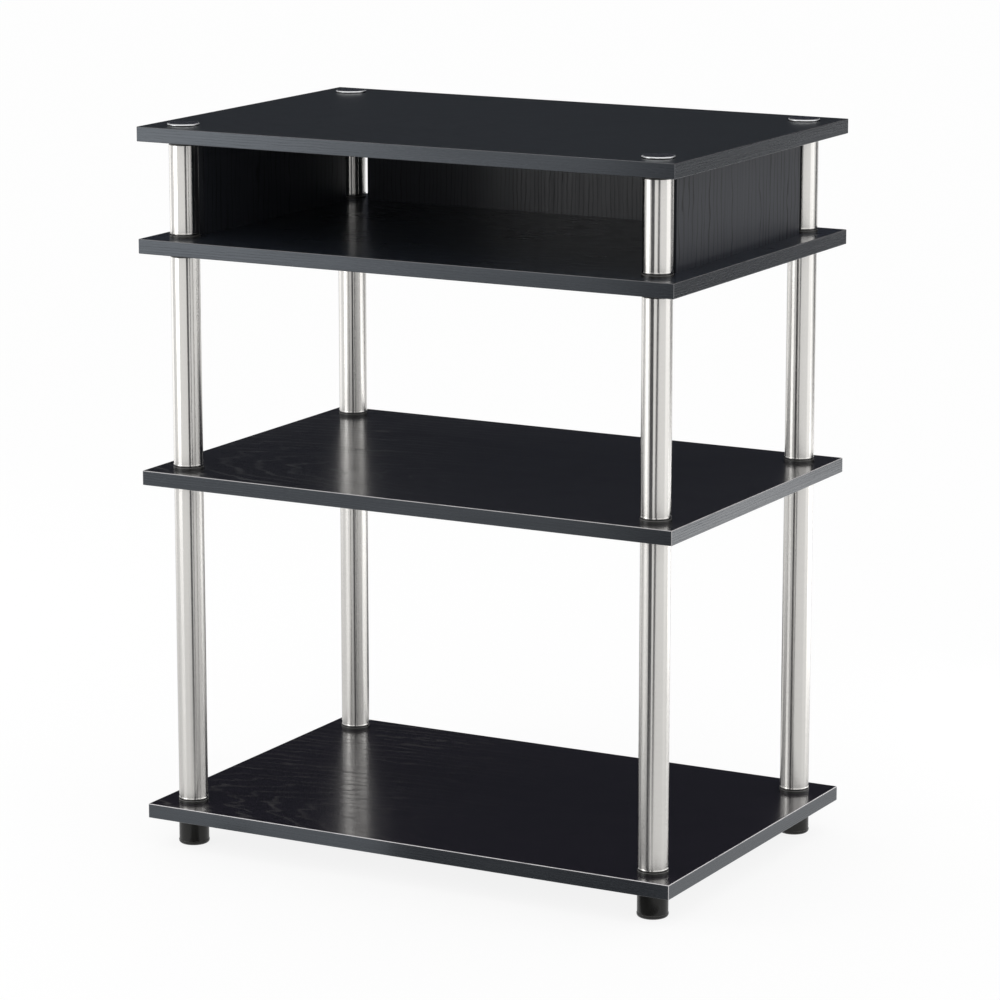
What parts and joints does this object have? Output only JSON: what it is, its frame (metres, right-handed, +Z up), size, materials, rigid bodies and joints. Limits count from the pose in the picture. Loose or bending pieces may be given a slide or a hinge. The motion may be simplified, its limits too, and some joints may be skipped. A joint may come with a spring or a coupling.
{
  "type": "printer stand",
  "caption": "Open printer stand: black wood-grain boards on hand-screwed stainless tubes with chromed caps and plastic feet, and a panelled compartment under the top.",
  "frame": {"origin": "centre of the footprint, on the floor that the feet stand on", "axes": "+X to the right seen from the open front, +Y to the back, +Z up"},
  "size_m": [0.6, 0.4, 0.7507],
  "materials": {
    "laminate": "black wood-grain laminate on board, semi-gloss",
    "edging": "black edge banding with a fine grain, satin",
    "stainless_steel": "brushed along the tube",
    "black_plastic": "moulded, fine texture",
    "chrome": "polished plating",
    "plated_steel": "zinc-plated thread",
    "dowel_wood": "plain beech"
  },
  "bodies": {
    "stand": {"bottom_shelf": "laminate", "bottom_shelf_edging": "edging", "middle_shelf": "laminate", "middle_shelf_edging": "edging", "upper_shelf": "laminate", "upper_shelf_edging": "edging", "top_board": "laminate", "top_board_edging": "edging", "left_panel": "laminate", "right_panel": "laminate", "back_panel": "laminate", "panel_edging": "edging", "panel_dowels": "dowel_wood", "lower_tube_front_left": "stainless_steel", "lower_collar_front_left": "black_plastic", "lower_tube_front_right": "stainless_steel", "lower_collar_front_right": "black_plastic", "lower_tube_back_left": "stainless_steel", "lower_collar_back_left": "black_plastic", "lower_tube_back_right": "stainless_steel", "lower_collar_back_right": "black_plastic", "lower_tube_inserts": "black_plastic", "lower_studs": "plated_steel", "middle_tube_front_left": "stainless_steel", "middle_collar_front_left": "black_plastic", "middle_tube_front_right": "stainless_steel", "middle_collar_front_right": "black_plastic", "middle_tube_back_left": "stainless_steel", "middle_collar_back_left": "black_plastic", "middle_tube_back_right": "stainless_steel", "middle_collar_back_right": "black_plastic", "middle_tube_inserts": "black_plastic", "middle_studs": "plated_steel", "upper_tube_front_left": "stainless_steel", "upper_collar_front_left": "black_plastic", "upper_tube_front_right": "stainless_steel", "upper_collar_front_right": "black_plastic", "upper_tube_back_left": "stainless_steel", "upper_collar_back_left": "black_plastic", "upper_tube_back_right": "stainless_steel", "upper_collar_back_right": "black_plastic", "upper_tube_inserts": "black_plastic", "upper_studs": "plated_steel"},
    "cap_stud_front_left": {"cap_stud_front_left": "plated_steel"},
    "cap_front_left": {"cap_front_left": "chrome"},
    "foot_bush_front_left": {"foot_bush_front_left": "plated_steel"},
    "foot_front_left": {"foot_front_left": "black_plastic"},
    "cap_stud_front_right": {"cap_stud_front_right": "plated_steel"},
    "cap_front_right": {"cap_front_right": "chrome"},
    "foot_bush_front_right": {"foot_bush_front_right": "plated_steel"},
    "foot_front_right": {"foot_front_right": "black_plastic"},
    "cap_stud_back_left": {"cap_stud_back_left": "plated_steel"},
    "cap_back_left": {"cap_back_left": "chrome"},
    "foot_bush_back_left": {"foot_bush_back_left": "plated_steel"},
    "foot_back_left": {"foot_back_left": "black_plastic"},
    "cap_stud_back_right": {"cap_stud_back_right": "plated_steel"},
    "cap_back_right": {"cap_back_right": "chrome"},
    "foot_bush_back_right": {"foot_bush_back_right": "plated_steel"},
    "foot_back_right": {"foot_back_right": "black_plastic"}
  },
  "joints": [
    {"name": "cap_travel_front_left", "type": "slide", "parent": "stand", "child": "cap_stud_front_left", "axis": [0, 0, 1], "range_m": [0, 0.01226]},
    {"name": "cap_turn_front_left", "type": "hinge", "parent": "cap_stud_front_left", "child": "cap_front_left", "pos_m": [-0.266, -0.166, 0.7485], "axis": [0, 0, 1], "range_deg": [0, 2520]},
    {"name": "foot_travel_front_left", "type": "slide", "parent": "stand", "child": "foot_bush_front_left", "axis": [0, 0, -1], "range_m": [0, 0.00701]},
    {"name": "foot_turn_front_left", "type": "hinge", "parent": "foot_bush_front_left", "child": "foot_front_left", "pos_m": [-0.266, -0.166, 0.03], "axis": [0, 0, -1], "range_deg": [0, 1440]},
    {"name": "cap_travel_front_right", "type": "slide", "parent": "stand", "child": "cap_stud_front_right", "axis": [0, 0, 1], "range_m": [0, 0.01226]},
    {"name": "cap_turn_front_right", "type": "hinge", "parent": "cap_stud_front_right", "child": "cap_front_right", "pos_m": [0.266, -0.166, 0.7485], "axis": [0, 0, 1], "range_deg": [0, 2520]},
    {"name": "foot_travel_front_right", "type": "slide", "parent": "stand", "child": "foot_bush_front_right", "axis": [0, 0, -1], "range_m": [0, 0.00701]},
    {"name": "foot_turn_front_right", "type": "hinge", "parent": "foot_bush_front_right", "child": "foot_front_right", "pos_m": [0.266, -0.166, 0.03], "axis": [0, 0, -1], "range_deg": [0, 1440]},
    {"name": "cap_travel_back_left", "type": "slide", "parent": "stand", "child": "cap_stud_back_left", "axis": [0, 0, 1], "range_m": [0, 0.01226]},
    {"name": "cap_turn_back_left", "type": "hinge", "parent": "cap_stud_back_left", "child": "cap_back_left", "pos_m": [-0.266, 0.166, 0.7485], "axis": [0, 0, 1], "range_deg": [0, 2520]},
    {"name": "foot_travel_back_left", "type": "slide", "parent": "stand", "child": "foot_bush_back_left", "axis": [0, 0, -1], "range_m": [0, 0.00701]},
    {"name": "foot_turn_back_left", "type": "hinge", "parent": "foot_bush_back_left", "child": "foot_back_left", "pos_m": [-0.266, 0.166, 0.03], "axis": [0, 0, -1], "range_deg": [0, 1440]},
    {"name": "cap_travel_back_right", "type": "slide", "parent": "stand", "child": "cap_stud_back_right", "axis": [0, 0, 1], "range_m": [0, 0.01226]},
    {"name": "cap_turn_back_right", "type": "hinge", "parent": "cap_stud_back_right", "child": "cap_back_right", "pos_m": [0.266, 0.166, 0.7485], "axis": [0, 0, 1], "range_deg": [0, 2520]},
    {"name": "foot_travel_back_right", "type": "slide", "parent": "stand", "child": "foot_bush_back_right", "axis": [0, 0, -1], "range_m": [0, 0.00701]},
    {"name": "foot_turn_back_right", "type": "hinge", "parent": "foot_bush_back_right", "child": "foot_back_right", "pos_m": [0.266, 0.166, 0.03], "axis": [0, 0, -1], "range_deg": [0, 1440]}
  ],
  "couplings": [
    {"joint": "cap_travel_front_left", "follows": "cap_turn_front_left", "m_per_rad": 0.00027852},
    {"joint": "foot_travel_front_left", "follows": "foot_turn_front_left", "m_per_rad": 0.00027852},
    {"joint": "cap_travel_front_right", "follows": "cap_turn_front_right", "m_per_rad": 0.00027852},
    {"joint": "foot_travel_front_right", "follows": "foot_turn_front_right", "m_per_rad": 0.00027852},
    {"joint": "cap_travel_back_left", "follows": "cap_turn_back_left", "m_per_rad": 0.00027852},
    {"joint": "foot_travel_back_left", "follows": "foot_turn_back_left", "m_per_rad": 0.00027852},
    {"joint": "cap_travel_back_right", "follows": "cap_turn_back_right", "m_per_rad": 0.00027852},
    {"joint": "foot_travel_back_right", "follows": "foot_turn_back_right", "m_per_rad": 0.00027852}
  ]
}
